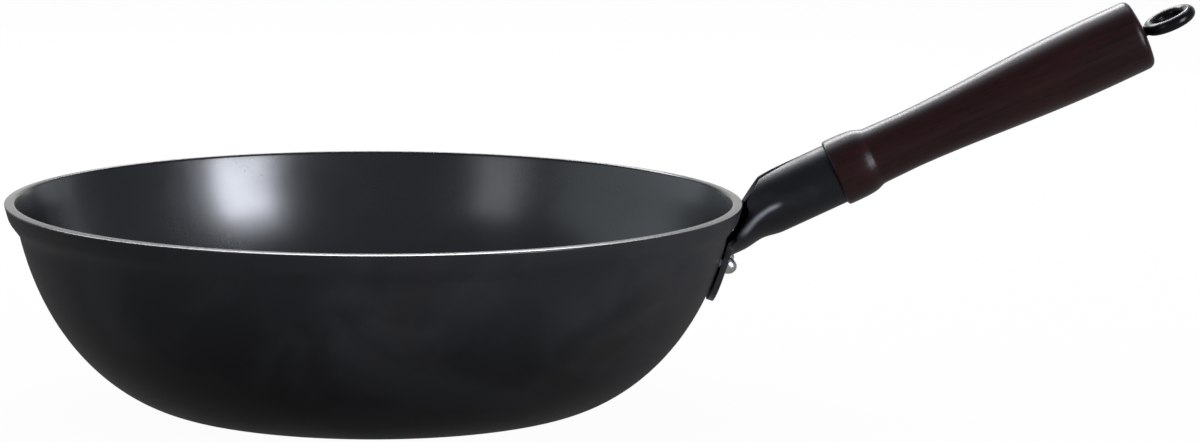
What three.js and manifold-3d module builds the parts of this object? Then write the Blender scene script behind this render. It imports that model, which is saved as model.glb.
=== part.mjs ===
// Flat-bottomed cast iron wok with a riveted sheet-metal socket, a turned wooden grip
// and a long eye bolt that clamps the grip and ends in a hanging eye.
// Millimetres, +Z up, the handle points along +X, the origin is the centre of the base underside.

import * as THREE from 'three';
import { mergeVertices } from 'three/addons/utils/BufferGeometryUtils.js';
import Module from 'manifold-3d';

const { degToRad, smoothstep, lerp } = THREE.MathUtils;

// Bowl
const RIM_RADIUS = 160;
const BOWL_HEIGHT = 88;
const BASE_RADIUS = 93.5;
const WALL = 2.3;
const BASE_EASE = 6;
const WALL_EASE = 61;
const WALL_LEAN_AT_RIM = degToRad(13);

// Thickened band round the rim
const BAND_HEIGHT = 13.4;
const BAND_FACE = 7.4;
const BAND_TAPER = 1.7;
const BAND_CORNER_ROUND = 2;
const RIM_FLARE = 6.2;
const RIM_WIDTH = 4.6;
const RIM_ROUND = 0.5;
const RIM_INNER_ROUND = 2;
const LIP_EASE = 6;

// Sheet-metal bracket: a tongue on the bowl wall that rolls up into a round socket
const SHEET = 2.6;
const SEAT_BELOW_BAND = 12.3;
const TONGUE_WIDTH = 36;
const TONGUE_SIDES = 7;
const TONGUE_TIP = 14;
const TONGUE_SPREAD = 0.5;
const TONGUE_NECK = 14;
const RELIEF_DEPTH = 4.5;
const RELIEF_WIDTH = 12.5;
const KEEL_RISE = 2.4;
const KEEL_RADIUS = 16;
const CREASE_RADIUS = 4;
const CREASE_LENGTH = 4;
const CREASE_OFFSET = 13;
const CREASE_END_OFFSET = 17;
const NECK_START = 8;
const NECK_LENGTH = 20;
const NECK_LIFT = 1.2;
const FRONT_SWEEP = 0.67;
const FRONT_SWEEP_FROM = 16;
const VEE_WIDTH = 4.2;
const VEE_RUN = 18;
const RIM_CLEARANCE = 0.5;
const BEND_RUN = 2;
const SOCKET_RADIUS = 13.5;
const SEAM = 0.8;
const HANDLE_PITCH = degToRad(25.4);

// Rivets
const RIVET_FROM_SIDE = 5;
const RIVET_SHANK = 2;
const RIVET_DOME_LIP = 1.7;
const RIVET_DOME_HEIGHT = 3.9;
const RIVET_HEAD_LIP = 2.2;
const RIVET_HEAD_HEIGHT = 1.6;

// Wooden grip
const GRIP_LENGTH = 146.6;
const GRIP_SHOULDER = 1.45;
const GRIP_COLLAR = 5;
const GRIP_COVE_SLOPE = degToRad(21.5);
const GRIP_COVE_DROP = 1.05;
const GRIP_COVE_AT = 15.6;
const GRIP_COVE_RUN = 2.2;
const GRIP_THROAT_RISE = 0.26;
const GRIP_THROAT_AT = 21.5;
const GRIP_WAIST_RADIUS = 12.48;
const GRIP_WAIST_AT = 34;
const GRIP_WAIST_EASE = 0.3;
const GRIP_SWELL_RADIUS = 15.83;
const GRIP_SWELL_FROM_END = 19.6;
const GRIP_SWELL_EASE = 0.61;
const GRIP_END_RADIUS = 15.7;
const GRIP_EDGE_ROUND = 1.6;
const GRIP_END_ROUND = 4;
const GRIP_CROWN = 0.9;
const TENON_LENGTH = 14;

// Eye bolt and the nut it screws into
const BOLT_RADIUS = 2.4;
const EYE_WIRE_RADIUS = 2.65;
const EYE_RADIUS = 9.2;
const EYE_ROLL = degToRad(6);
const NUT_LENGTH = 8;
const NUT_BEHIND_TENON = 4;
const NUT_PAST_NECK = 4;
const BOLT_PAST_NUT = 4;

// Clearance between pieces that touch
const FIT = 0.3;

// How finely round shapes are cut
const BOWL_SIDES = 72;
const ROUND_SIDES = 28;
const WIRE_SIDES = 12;
const EYE_SIDES = 30;
const RIVET_SIDES = 20;
const WALL_STEPS = 12;
const ARC_STEPS = 6;
const RIM_STEPS = 3;
const SECTION_STEPS = 60;
const TONGUE_COLUMNS = 12;
const WING_COLUMNS = 10;
const SOCKET_ROWS = 12;
const FRONT_CROWDING = 1.3;
const BEND_ROWS = 4;
const TONGUE_ROWS = 6;
const WELD = 1e-4;

// How often a place is halved or averaged until it stands still
const HALVINGS = 40;
const AVERAGINGS = 30;

const wasm = await Module();
wasm.setup();

// Materials
const material = (color, roughness, metalness) =>
  new THREE.MeshStandardMaterial({ color, roughness, metalness });
const CAST_IRON = material(0x2b2c2f, 0.5, 0.6);
const BLACK_SHEET = material(0x121316, 0.35, 0.3);
const STEEL = material(0xb8babd, 0.3, 1.0);
const WOOD = material(0x2e1d1b, 0.35, 0.0);

// Closed geometry with shared vertices and no empty triangles
function weld(geometry) {
  const bare = new THREE.BufferGeometry();
  bare.setAttribute('position', geometry.getAttribute('position'));
  bare.setIndex(geometry.getIndex());
  const merged = mergeVertices(bare, WELD);
  const source = merged.getIndex().array;
  const kept = [];
  for (let i = 0; i < source.length; i += 3) {
    const [a, b, c] = [source[i], source[i + 1], source[i + 2]];
    if (a !== b && b !== c && c !== a) kept.push(a, b, c);
  }
  merged.setIndex(kept);
  return merged;
}

function toSolid(geometry) {
  const closed = weld(geometry);
  return new wasm.Manifold(new wasm.Mesh({
    numProp: 3,
    vertProperties: new Float32Array(closed.getAttribute('position').array),
    triVerts: new Uint32Array(closed.getIndex().array),
  }));
}

function toGeometry(solid) {
  const mesh = solid.getMesh();
  const geometry = new THREE.BufferGeometry();
  geometry.setAttribute('position', new THREE.BufferAttribute(mesh.vertProperties, 3));
  geometry.setIndex(new THREE.BufferAttribute(mesh.triVerts, 1));
  return geometry;
}

// Solid of revolution about +Z from a profile of (radius, height) points
function turned(points, sides) {
  return weld(new THREE.LatheGeometry(points, sides).rotateX(Math.PI / 2));
}

function namedMesh(name, geometry, finish) {
  const mesh = new THREE.Mesh(geometry, finish);
  mesh.name = name;
  return mesh;
}

// Corners of the rim band, and the bowl's outer curve from the base edge up to the band's foot
const bandFoot = new THREE.Vector2(RIM_RADIUS - RIM_FLARE, BOWL_HEIGHT - BAND_HEIGHT);
const bandCorner = new THREE.Vector2(RIM_RADIUS - BAND_TAPER, BOWL_HEIGHT - BAND_FACE);
const shoulder = new THREE.Vector2(RIM_RADIUS, BOWL_HEIGHT - RIM_ROUND);
const wallUp = new THREE.Vector2(Math.sin(WALL_LEAN_AT_RIM), Math.cos(WALL_LEAN_AT_RIM));
const wallCurve = new THREE.CubicBezierCurve(
  new THREE.Vector2(BASE_RADIUS, 0),
  new THREE.Vector2(BASE_RADIUS + BASE_EASE, 0),
  bandFoot.clone().addScaledVector(wallUp, -WALL_EASE),
  bandFoot,
);

// Radius and lean from the vertical of the outer wall at a height
function wallAt(height) {
  let low = 0;
  let high = 1;
  for (let i = 0; i < HALVINGS; i += 1) {
    const middle = (low + high) / 2;
    if (wallCurve.getPoint(middle).y < height) low = middle;
    else high = middle;
  }
  const tangent = wallCurve.getTangent(low);
  return { radius: wallCurve.getPoint(low).x, lean: Math.atan2(tangent.x, tangent.y) };
}

function innerWallPoints() {
  const points = [];
  for (let i = 0; i <= WALL_STEPS; i += 1) {
    const tangent = wallCurve.getTangent(i / WALL_STEPS);
    const inward = new THREE.Vector2(-tangent.y, tangent.x);
    points.push(wallCurve.getPoint(i / WALL_STEPS).addScaledVector(inward, WALL));
  }
  return points;
}

function bowlProfile() {
  const inner = innerWallPoints();
  const innerTop = inner.pop();
  const lip = new THREE.Vector2(RIM_RADIUS - RIM_WIDTH, BOWL_HEIGHT);
  const lipTurn = innerTop.clone().addScaledVector(wallUp, LIP_EASE);
  const lipFoot = lipTurn.clone().sub(lip).setLength(RIM_INNER_ROUND).add(lip);
  const outline = new THREE.Path();
  outline.moveTo(bandFoot.x, bandFoot.y);
  const towards = (end) => end.clone().sub(bandCorner).setLength(BAND_CORNER_ROUND).add(bandCorner);
  const cornerStart = towards(bandFoot);
  const cornerEnd = towards(shoulder);
  outline.lineTo(cornerStart.x, cornerStart.y);
  outline.quadraticCurveTo(bandCorner.x, bandCorner.y, cornerEnd.x, cornerEnd.y);
  outline.lineTo(shoulder.x, shoulder.y);
  outline.quadraticCurveTo(RIM_RADIUS, BOWL_HEIGHT, RIM_RADIUS - RIM_ROUND, BOWL_HEIGHT);
  outline.lineTo(lip.x + RIM_INNER_ROUND, BOWL_HEIGHT);
  outline.quadraticCurveTo(lip.x, lip.y, lipFoot.x, lipFoot.y);
  outline.quadraticCurveTo(lipTurn.x, lipTurn.y, innerTop.x, innerTop.y);
  const outer = wallCurve.getPoints(WALL_STEPS);
  const rim = outline.getPoints(RIM_STEPS).slice(1);
  return [
    new THREE.Vector2(0, 0),
    ...outer,
    ...rim,
    ...inner.reverse(),
    new THREE.Vector2(0, WALL),
  ];
}

// Frames of the bracket: the tongue lies flat against the wall, the socket leaves it at a pitch
const seatHeight = bandFoot.y - SEAT_BELOW_BAND;
const seat = wallAt(seatHeight);
const tongueUp = new THREE.Vector3(Math.sin(seat.lean), 0, Math.cos(seat.lean));
const tongueOut = new THREE.Vector3(Math.cos(seat.lean), 0, -Math.sin(seat.lean));
const handleAlong = new THREE.Vector3(Math.cos(HANDLE_PITCH), 0, Math.sin(HANDLE_PITCH));
const handleUp = new THREE.Vector3(-Math.sin(HANDLE_PITCH), 0, Math.cos(HANDLE_PITCH));
const bendAngle = Math.PI / 2 - seat.lean - HANDLE_PITCH;
const seatPoint = new THREE.Vector3(seat.radius, 0, seatHeight)
  .addScaledVector(tongueOut, FIT + SHEET / 2);
const keel = seatPoint.clone().addScaledVector(tongueUp, KEEL_RISE);
const rollRadius = SOCKET_RADIUS - SHEET / 2;
const socketBore = SOCKET_RADIUS - SHEET;
const rollHalf = Math.PI * rollRadius - SEAM / 2;
const proudOfTongue = ({ x, y }) => new THREE.Vector3(x, 0, y).sub(keel).dot(tongueOut);
const bandProud = Math.max(...[bandCorner, shoulder].map(proudOfTongue));
const bandRecess = RIM_RADIUS - Math.sqrt(RIM_RADIUS ** 2 - rollRadius ** 2);
const wingRun = (bandProud - bandRecess + RIM_CLEARANCE) / Math.sin(bendAngle);
const nutFront = -TENON_LENGTH - NUT_BEHIND_TENON;
const nutBack = nutFront - NUT_LENGTH;
const socketReach = NECK_START + NECK_LENGTH + NUT_PAST_NECK - nutBack;
const socketEnd = keel.clone()
  .addScaledVector(handleAlong, socketReach)
  .addScaledVector(handleUp, rollRadius);

// Side offset and height of the rolled sheet, at a distance from the keel's bend,
// for a place on the sheet measured round from its middle line
function section(distance, around) {
  const roll = smoothstep(distance, NECK_START, NECK_START + NECK_LENGTH);
  const creaseStart = lerp(CREASE_OFFSET, CREASE_END_OFFSET, roll);
  const keelBend = lerp(1 / KEEL_RADIUS, 1 / rollRadius, roll);
  const creaseBend = lerp(1 / CREASE_RADIUS, 1 / rollRadius, roll);
  const wingBend = roll / rollRadius;
  const stride = Math.abs(around) / SECTION_STEPS;
  let turn = 0;
  let side = 0;
  let height = 0;
  for (let i = 0; i < SECTION_STEPS; i += 1) {
    const place = (i + 0.5) * stride;
    let bend = keelBend;
    if (place > creaseStart) bend = creaseBend;
    if (place > creaseStart + CREASE_LENGTH) bend = wingBend;
    const middle = turn + (bend * stride) / 2;
    side += Math.cos(middle) * stride;
    height += Math.sin(middle) * stride;
    turn += bend * stride;
  }
  const low = Math.max(0, 1 - height / (2 * rollRadius));
  const lift = NECK_LIFT * low * Math.sin(Math.PI * roll);
  return { side: Math.sign(around) * side, height: height + lift };
}

// Distance along the socket where the tongue's bend begins, or a wing's front edge stops,
// with a rounded relief where the near wing leaves the tongue and a seam that opens towards the bowl
function frontOf(around) {
  const past = Math.abs(around) - TONGUE_NECK;
  const relieved = around < 0 && past < RELIEF_WIDTH;
  const relief = relieved ? RELIEF_DEPTH * Math.sin((Math.PI * past) / RELIEF_WIDTH) : 0;
  const run = past > 0 ? wingRun + relief : BEND_RUN;
  let distance = run;
  for (let i = 0; i < AVERAGINGS; i += 1) {
    const { height } = section(distance, around);
    const sweep = FRONT_SWEEP * Math.max(0, height - FRONT_SWEEP_FROM);
    distance = (distance + run + height / Math.tan(bendAngle) + sweep) / 2;
  }
  const intoVee = Math.max(0, Math.abs(around) - rollHalf + VEE_WIDTH);
  return distance + (VEE_RUN / VEE_WIDTH) * intoVee;
}

function socketPoint(distance, around) {
  const { side, height } = section(distance, around);
  const point = keel.clone()
    .addScaledVector(handleAlong, distance)
    .addScaledVector(handleUp, height);
  point.y = side;
  return point;
}

function tonguePoint(side, below) {
  const point = keel.clone().addScaledVector(tongueUp, -below);
  point.y = side;
  return point;
}

// Middle surface of the bracket as a list of points and triangles
function bracketSurface() {
  const columns = [];
  for (let i = -WING_COLUMNS; i < 0; i += 1) {
    columns.push(lerp(-TONGUE_NECK, -rollHalf, -i / WING_COLUMNS));
  }
  for (let i = 0; i <= TONGUE_COLUMNS; i += 1) {
    columns.push(TONGUE_NECK * Math.sin(Math.PI * (i / TONGUE_COLUMNS - 0.5)));
  }
  for (let i = 1; i <= WING_COLUMNS; i += 1) {
    columns.push(lerp(TONGUE_NECK, rollHalf, i / WING_COLUMNS));
  }
  const points = [];
  const triangles = [];
  const joinRows = (upper, lower) => {
    for (let i = 0; i + 1 < upper.length; i += 1) {
      triangles.push(upper[i], lower[i], lower[i + 1], upper[i], lower[i + 1], upper[i + 1]);
    }
  };
  const addRow = (row) => row.map((point) => points.push(point) - 1);

  const fronts = columns.map(frontOf);
  let upper = null;
  for (let row = 0; row <= SOCKET_ROWS; row += 1) {
    const part = 1 - (1 - row / SOCKET_ROWS) ** FRONT_CROWDING;
    const lower = addRow(columns.map((around, i) =>
      socketPoint(lerp(socketReach, fronts[i], part), around)));
    if (upper) joinRows(upper, lower);
    upper = lower;
  }

  const middle = columns.slice(WING_COLUMNS, WING_COLUMNS + TONGUE_COLUMNS + 1);
  upper = upper.slice(WING_COLUMNS, WING_COLUMNS + TONGUE_COLUMNS + 1);
  const starts = upper.map((index) => points[index]);
  const corners = middle.map((around, i) => {
    const { height } = section(fronts[i + WING_COLUMNS], around);
    return tonguePoint(starts[i].y, -height / Math.sin(bendAngle));
  });
  const bendEnds = corners.map((corner) => corner.clone().addScaledVector(tongueUp, -BEND_RUN));
  for (let row = 1; row <= BEND_ROWS; row += 1) {
    const lower = addRow(starts.map((start, i) =>
      new THREE.QuadraticBezierCurve3(start, corners[i], bendEnds[i]).getPoint(row / BEND_ROWS)));
    joinRows(upper, lower);
    upper = lower;
  }

  const tips = middle.map((around) => {
    const share = around / TONGUE_NECK;
    const below = TONGUE_SIDES + TONGUE_TIP * Math.sqrt(Math.max(0, 1 - share * share));
    return tonguePoint((share * TONGUE_WIDTH) / 2, below);
  });
  for (let row = 1; row <= TONGUE_ROWS; row += 1) {
    const part = row / TONGUE_ROWS;
    const lower = addRow(bendEnds.map((end, i) => {
      const point = end.clone().lerp(tips[i], part);
      point.y = lerp(end.y, tips[i].y, smoothstep(part, 0, TONGUE_SPREAD));
      return point;
    }));
    joinRows(upper, lower);
    upper = lower;
  }
  return { points, triangles };
}

// Closed sheet of even thickness about a middle surface
function thickened({ points, triangles }, thickness) {
  const normals = points.map(() => new THREE.Vector3());
  const edges = new Map();
  for (let i = 0; i < triangles.length; i += 3) {
    const corner = [triangles[i], triangles[i + 1], triangles[i + 2]];
    const [a, b, c] = corner.map((index) => points[index]);
    const normal = b.clone().sub(a).cross(c.clone().sub(a));
    corner.forEach((index, k) => {
      normals[index].add(normal);
      edges.set(`${index},${corner[(k + 1) % 3]}`, [index, corner[(k + 1) % 3]]);
    });
  }
  const count = points.length;
  const position = [];
  for (const sign of [1, -1]) {
    points.forEach((point, i) => {
      const shift = normals[i].clone().normalize().multiplyScalar((sign * thickness) / 2);
      position.push(...point.clone().add(shift).toArray());
    });
  }
  const index = [];
  for (let i = 0; i < triangles.length; i += 3) {
    const [a, b, c] = [triangles[i], triangles[i + 1], triangles[i + 2]];
    index.push(a, b, c, c + count, b + count, a + count);
  }
  for (const [a, b] of edges.values()) {
    if (edges.has(`${b},${a}`)) continue;
    index.push(a, a + count, b + count, a, b + count, b);
  }
  const geometry = new THREE.BufferGeometry();
  geometry.setAttribute('position', new THREE.Float32BufferAttribute(position, 3));
  geometry.setIndex(index);
  return geometry;
}

// Rivets stand square to the tongue, with a dome outside and a low head inside the bowl
const rivetTurn = new THREE.Euler(0, Math.PI / 2 + seat.lean, 0);
const rivetSide = TONGUE_WIDTH / 2 - RIVET_FROM_SIDE;
const rivetTilt = Math.asin(rivetSide / seat.radius);
const wallRecess = seat.radius * (1 - Math.cos(rivetTilt)) * Math.cos(seat.lean);
const domeRadius = RIVET_SHANK + RIVET_DOME_LIP;
const headRadius = RIVET_SHANK + RIVET_HEAD_LIP;
const headSeat = SHEET / 2 + FIT + wallRecess + WALL / Math.cos(rivetTilt)
  + headRadius * Math.tan(rivetTilt) + FIT;

function rivetGeometry() {
  const domeSeat = SHEET / 2 + FIT;
  const outline = [];
  for (let i = 0; i <= ARC_STEPS; i += 1) {
    const angle = (Math.PI / 2) * (1 - i / ARC_STEPS);
    outline.push(new THREE.Vector2(
      headRadius * Math.cos(angle),
      -headSeat - RIVET_HEAD_HEIGHT * Math.sin(angle),
    ));
  }
  outline.push(new THREE.Vector2(RIVET_SHANK, -headSeat));
  outline.push(new THREE.Vector2(RIVET_SHANK, domeSeat));
  for (let i = 0; i <= ARC_STEPS; i += 1) {
    const angle = (Math.PI / 2) * (i / ARC_STEPS);
    outline.push(new THREE.Vector2(
      domeRadius * Math.cos(angle),
      domeSeat + RIVET_DOME_HEIGHT * Math.sin(angle),
    ));
  }
  outline[0].x = 0;
  outline[outline.length - 1].x = 0;
  return turned(outline, RIVET_SIDES);
}

const rivetPlaces = { rivet_near: -rivetSide, rivet_far: rivetSide };

function rivetHole(side) {
  const reach = 2 * (headSeat + SHEET);
  const radius = RIVET_SHANK + FIT;
  const hole = new THREE.CylinderGeometry(radius, radius, reach, RIVET_SIDES);
  const place = new THREE.Matrix4().makeRotationFromEuler(rivetTurn);
  place.setPosition(seatPoint.x, side, seatPoint.z);
  return toSolid(hole.rotateX(Math.PI / 2).applyMatrix4(place));
}

function drilled(geometry) {
  const holes = Object.values(rivetPlaces).map(rivetHole);
  return toGeometry(holes.reduce((solid, hole) => solid.subtract(hole), toSolid(geometry)));
}

// Grip: tenon, collar, cove, waist, swell and a crowned end, bored through for the bolt
function gripGeometry() {
  const bore = BOLT_RADIUS + FIT;
  const tenon = socketBore - FIT;
  const front = SOCKET_RADIUS + GRIP_SHOULDER;
  const swellAt = GRIP_LENGTH - GRIP_SWELL_FROM_END;
  const fall = Math.tan(GRIP_COVE_SLOPE);
  const coveTop = front - GRIP_COVE_DROP;
  const coveEnd = GRIP_COVE_AT + GRIP_COVE_RUN;
  const coveFoot = coveTop - fall * GRIP_COVE_RUN;
  const throat = GRIP_WAIST_RADIUS + GRIP_THROAT_RISE;
  const outline = new THREE.Path();
  outline.moveTo(bore, -TENON_LENGTH);
  outline.lineTo(tenon, -TENON_LENGTH);
  outline.lineTo(tenon, FIT);
  outline.lineTo(front - GRIP_EDGE_ROUND, FIT);
  outline.quadraticCurveTo(front, FIT, front, FIT + GRIP_EDGE_ROUND);
  outline.lineTo(front, GRIP_COLLAR);
  outline.quadraticCurveTo(front, GRIP_COVE_AT - GRIP_COVE_DROP / fall, coveTop, GRIP_COVE_AT);
  outline.lineTo(coveFoot, coveEnd);
  outline.quadraticCurveTo(throat, coveEnd + (coveFoot - throat) / fall, throat, GRIP_THROAT_AT);
  outline.lineTo(GRIP_WAIST_RADIUS, GRIP_WAIST_AT);
  outline.bezierCurveTo(
    GRIP_WAIST_RADIUS, lerp(GRIP_WAIST_AT, swellAt, GRIP_WAIST_EASE),
    GRIP_SWELL_RADIUS, lerp(GRIP_WAIST_AT, swellAt, GRIP_SWELL_EASE),
    GRIP_SWELL_RADIUS, swellAt,
  );
  outline.lineTo(GRIP_END_RADIUS, GRIP_LENGTH - GRIP_END_ROUND);
  outline.quadraticCurveTo(
    GRIP_END_RADIUS, GRIP_LENGTH, GRIP_END_RADIUS - GRIP_END_ROUND, GRIP_LENGTH,
  );
  outline.quadraticCurveTo(
    GRIP_END_RADIUS / 2, GRIP_LENGTH + GRIP_CROWN, bore, GRIP_LENGTH + GRIP_CROWN,
  );
  outline.lineTo(bore, -TENON_LENGTH);
  return turned(outline.getPoints(ARC_STEPS), ROUND_SIDES);
}

function nutGeometry() {
  const bore = BOLT_RADIUS + FIT;
  const outer = socketBore - FIT;
  const corners = [
    [bore, nutBack],
    [outer, nutBack],
    [outer, nutFront],
    [bore, nutFront],
    [bore, nutBack],
  ];
  return turned(corners.map(([radius, along]) => new THREE.Vector2(radius, along)), ROUND_SIDES);
}

// Eye bolt: a straight shank whose end meets the ring of the hanging eye
function eyeBoltGeometry() {
  const ringBottom = GRIP_LENGTH + GRIP_CROWN + FIT + EYE_WIRE_RADIUS;
  const shankStart = nutBack - BOLT_PAST_NUT;
  const shankLength = ringBottom - shankStart;
  const shank = new THREE.CylinderGeometry(BOLT_RADIUS, BOLT_RADIUS, shankLength, WIRE_SIDES)
    .rotateX(Math.PI / 2)
    .translate(0, 0, shankStart + shankLength / 2);
  const ring = new THREE.TorusGeometry(EYE_RADIUS, EYE_WIRE_RADIUS, WIRE_SIDES, EYE_SIDES)
    .rotateX(Math.PI / 2)
    .rotateZ(Math.PI / 2)
    .translate(0, 0, ringBottom + EYE_RADIUS);
  return toGeometry(toSolid(shank).add(toSolid(ring)));
}

// Assembly
const wok = new THREE.Group();
wok.add(namedMesh('wok_bowl', drilled(turned(bowlProfile(), BOWL_SIDES)), CAST_IRON));
wok.add(namedMesh('handle_bracket', drilled(thickened(bracketSurface(), SHEET)), BLACK_SHEET));

for (const [name, side] of Object.entries(rivetPlaces)) {
  const rivet = namedMesh(name, rivetGeometry(), STEEL);
  rivet.rotation.copy(rivetTurn);
  rivet.position.set(seatPoint.x, side, seatPoint.z);
  wok.add(rivet);
}

const handle = new THREE.Group();
handle.position.copy(socketEnd);
handle.rotation.set(0, Math.PI / 2 - HANDLE_PITCH, 0);
handle.add(namedMesh('socket_nut', nutGeometry(), STEEL));
handle.add(namedMesh('grip', gripGeometry(), WOOD));
const eyeBolt = namedMesh('eye_bolt', eyeBoltGeometry(), BLACK_SHEET);
eyeBolt.rotation.z = EYE_ROLL;
handle.add(eyeBolt);
wok.add(handle);

export default wok;
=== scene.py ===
"""Looks of a flat-bottomed iron wok with a riveted sheet socket, a turned grip and an eye bolt.

Sizes in the classes are millimetres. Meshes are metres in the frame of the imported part: +Z up,
the handle along +X, the origin at the centre of the base underside.
"""

import logging
import math
from dataclasses import dataclass, field
from enum import Enum
from typing import Any, Callable

import bpy
from mathutils import Euler, Matrix, Vector


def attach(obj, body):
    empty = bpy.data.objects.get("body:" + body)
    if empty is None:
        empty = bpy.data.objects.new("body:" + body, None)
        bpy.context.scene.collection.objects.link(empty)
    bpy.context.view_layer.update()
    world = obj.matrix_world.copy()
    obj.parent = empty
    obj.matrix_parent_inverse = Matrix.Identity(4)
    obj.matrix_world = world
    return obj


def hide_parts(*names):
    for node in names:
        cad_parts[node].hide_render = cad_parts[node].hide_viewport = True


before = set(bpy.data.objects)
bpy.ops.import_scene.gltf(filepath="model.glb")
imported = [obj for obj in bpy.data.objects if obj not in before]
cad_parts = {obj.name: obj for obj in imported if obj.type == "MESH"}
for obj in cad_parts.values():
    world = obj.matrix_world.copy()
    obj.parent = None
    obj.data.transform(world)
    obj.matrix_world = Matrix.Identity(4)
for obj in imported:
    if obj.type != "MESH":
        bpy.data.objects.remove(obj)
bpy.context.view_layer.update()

LOG = logging.getLogger("wok")
MM = 0.001
WELD = 1e-6
# Mesh layer that marks where a painted highlight lies along the socket's crease.
HIGHLIGHT_LAYER = "painted_highlight"

Colour = tuple[float, float, float, float]
Triple = tuple[float, float, float]
Point = tuple[float, float]
Corner = Point | Vector


class Body(Enum):
    """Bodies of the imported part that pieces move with."""

    PAN = "pan"
    EYE = "eye"


class Slot(Enum):
    """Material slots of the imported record."""

    IRON = "iron"
    SHEET = "black_sheet"
    STEEL = "steel"
    WOOD = "wood"
    WIRE = "black_wire"


class Side(Enum):
    """The two sides of the handle, as signs of Y."""

    NEAR = -1
    FAR = 1


def lerp(start: float, end: float, share: float) -> float:
    """Number a share of the way from start to end."""
    return start + (end - start) * share


def smoothstep(value: float, low: float, high: float) -> float:
    """Smooth rise from 0 at low to 1 at high."""
    share = min(1.0, max(0.0, (value - low) / (high - low)))
    return share * share * (3 - 2 * share)


def grey(level: float) -> Colour:
    """Opaque grey of one level."""
    return (level, level, level, 1.0)


# Shader nodes


class Level:
    """A number that changes over a surface. Arithmetic on it adds Math nodes."""

    def __init__(self, nodes: "FinishNodes", socket: bpy.types.NodeSocket) -> None:
        """Wrap a socket of a finish.

        Args:
            nodes: Node tree that the socket belongs to.
            socket: Output that carries the number.
        """
        self.nodes = nodes
        self.socket = socket

    def _math(self, operation: str, first: Any, second: Any) -> "Level":
        """Level from one Math node on two operands."""
        node = self.nodes.add("ShaderNodeMath", {"operation": operation}, {0: first, 1: second})
        return Level(self.nodes, node.outputs[0])

    def __add__(self, other: "Level | float") -> "Level":
        """Sum."""
        return self._math("ADD", self, other)

    def __radd__(self, other: float) -> "Level":
        """Sum with a number on the left."""
        return self._math("ADD", other, self)

    def __sub__(self, other: "Level | float") -> "Level":
        """Difference."""
        return self._math("SUBTRACT", self, other)

    def __rsub__(self, other: float) -> "Level":
        """Difference from a number."""
        return self._math("SUBTRACT", other, self)

    def __mul__(self, other: "Level | float") -> "Level":
        """Product."""
        return self._math("MULTIPLY", self, other)

    def __rmul__(self, other: float) -> "Level":
        """Product with a number on the left."""
        return self._math("MULTIPLY", other, self)

    def at_least(self, other: "Level | float") -> "Level":
        """Larger of two."""
        return self._math("MAXIMUM", self, other)

    def swing(self, amount: float) -> "Level":
        """Level from 0 to 1 made to swing about zero, by an amount in all."""
        return (self - 0.5) * amount


@dataclass(frozen=True)
class Pattern:
    """Soft noise over a surface, with scale as features per metre.

    A span gives the noise levels that become 0 and 1. A stretch scales the coordinates first.
    """

    scale: float
    detail: float
    distortion: float = 0.0
    span: Point | None = None
    stretch: Triple | None = None


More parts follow.
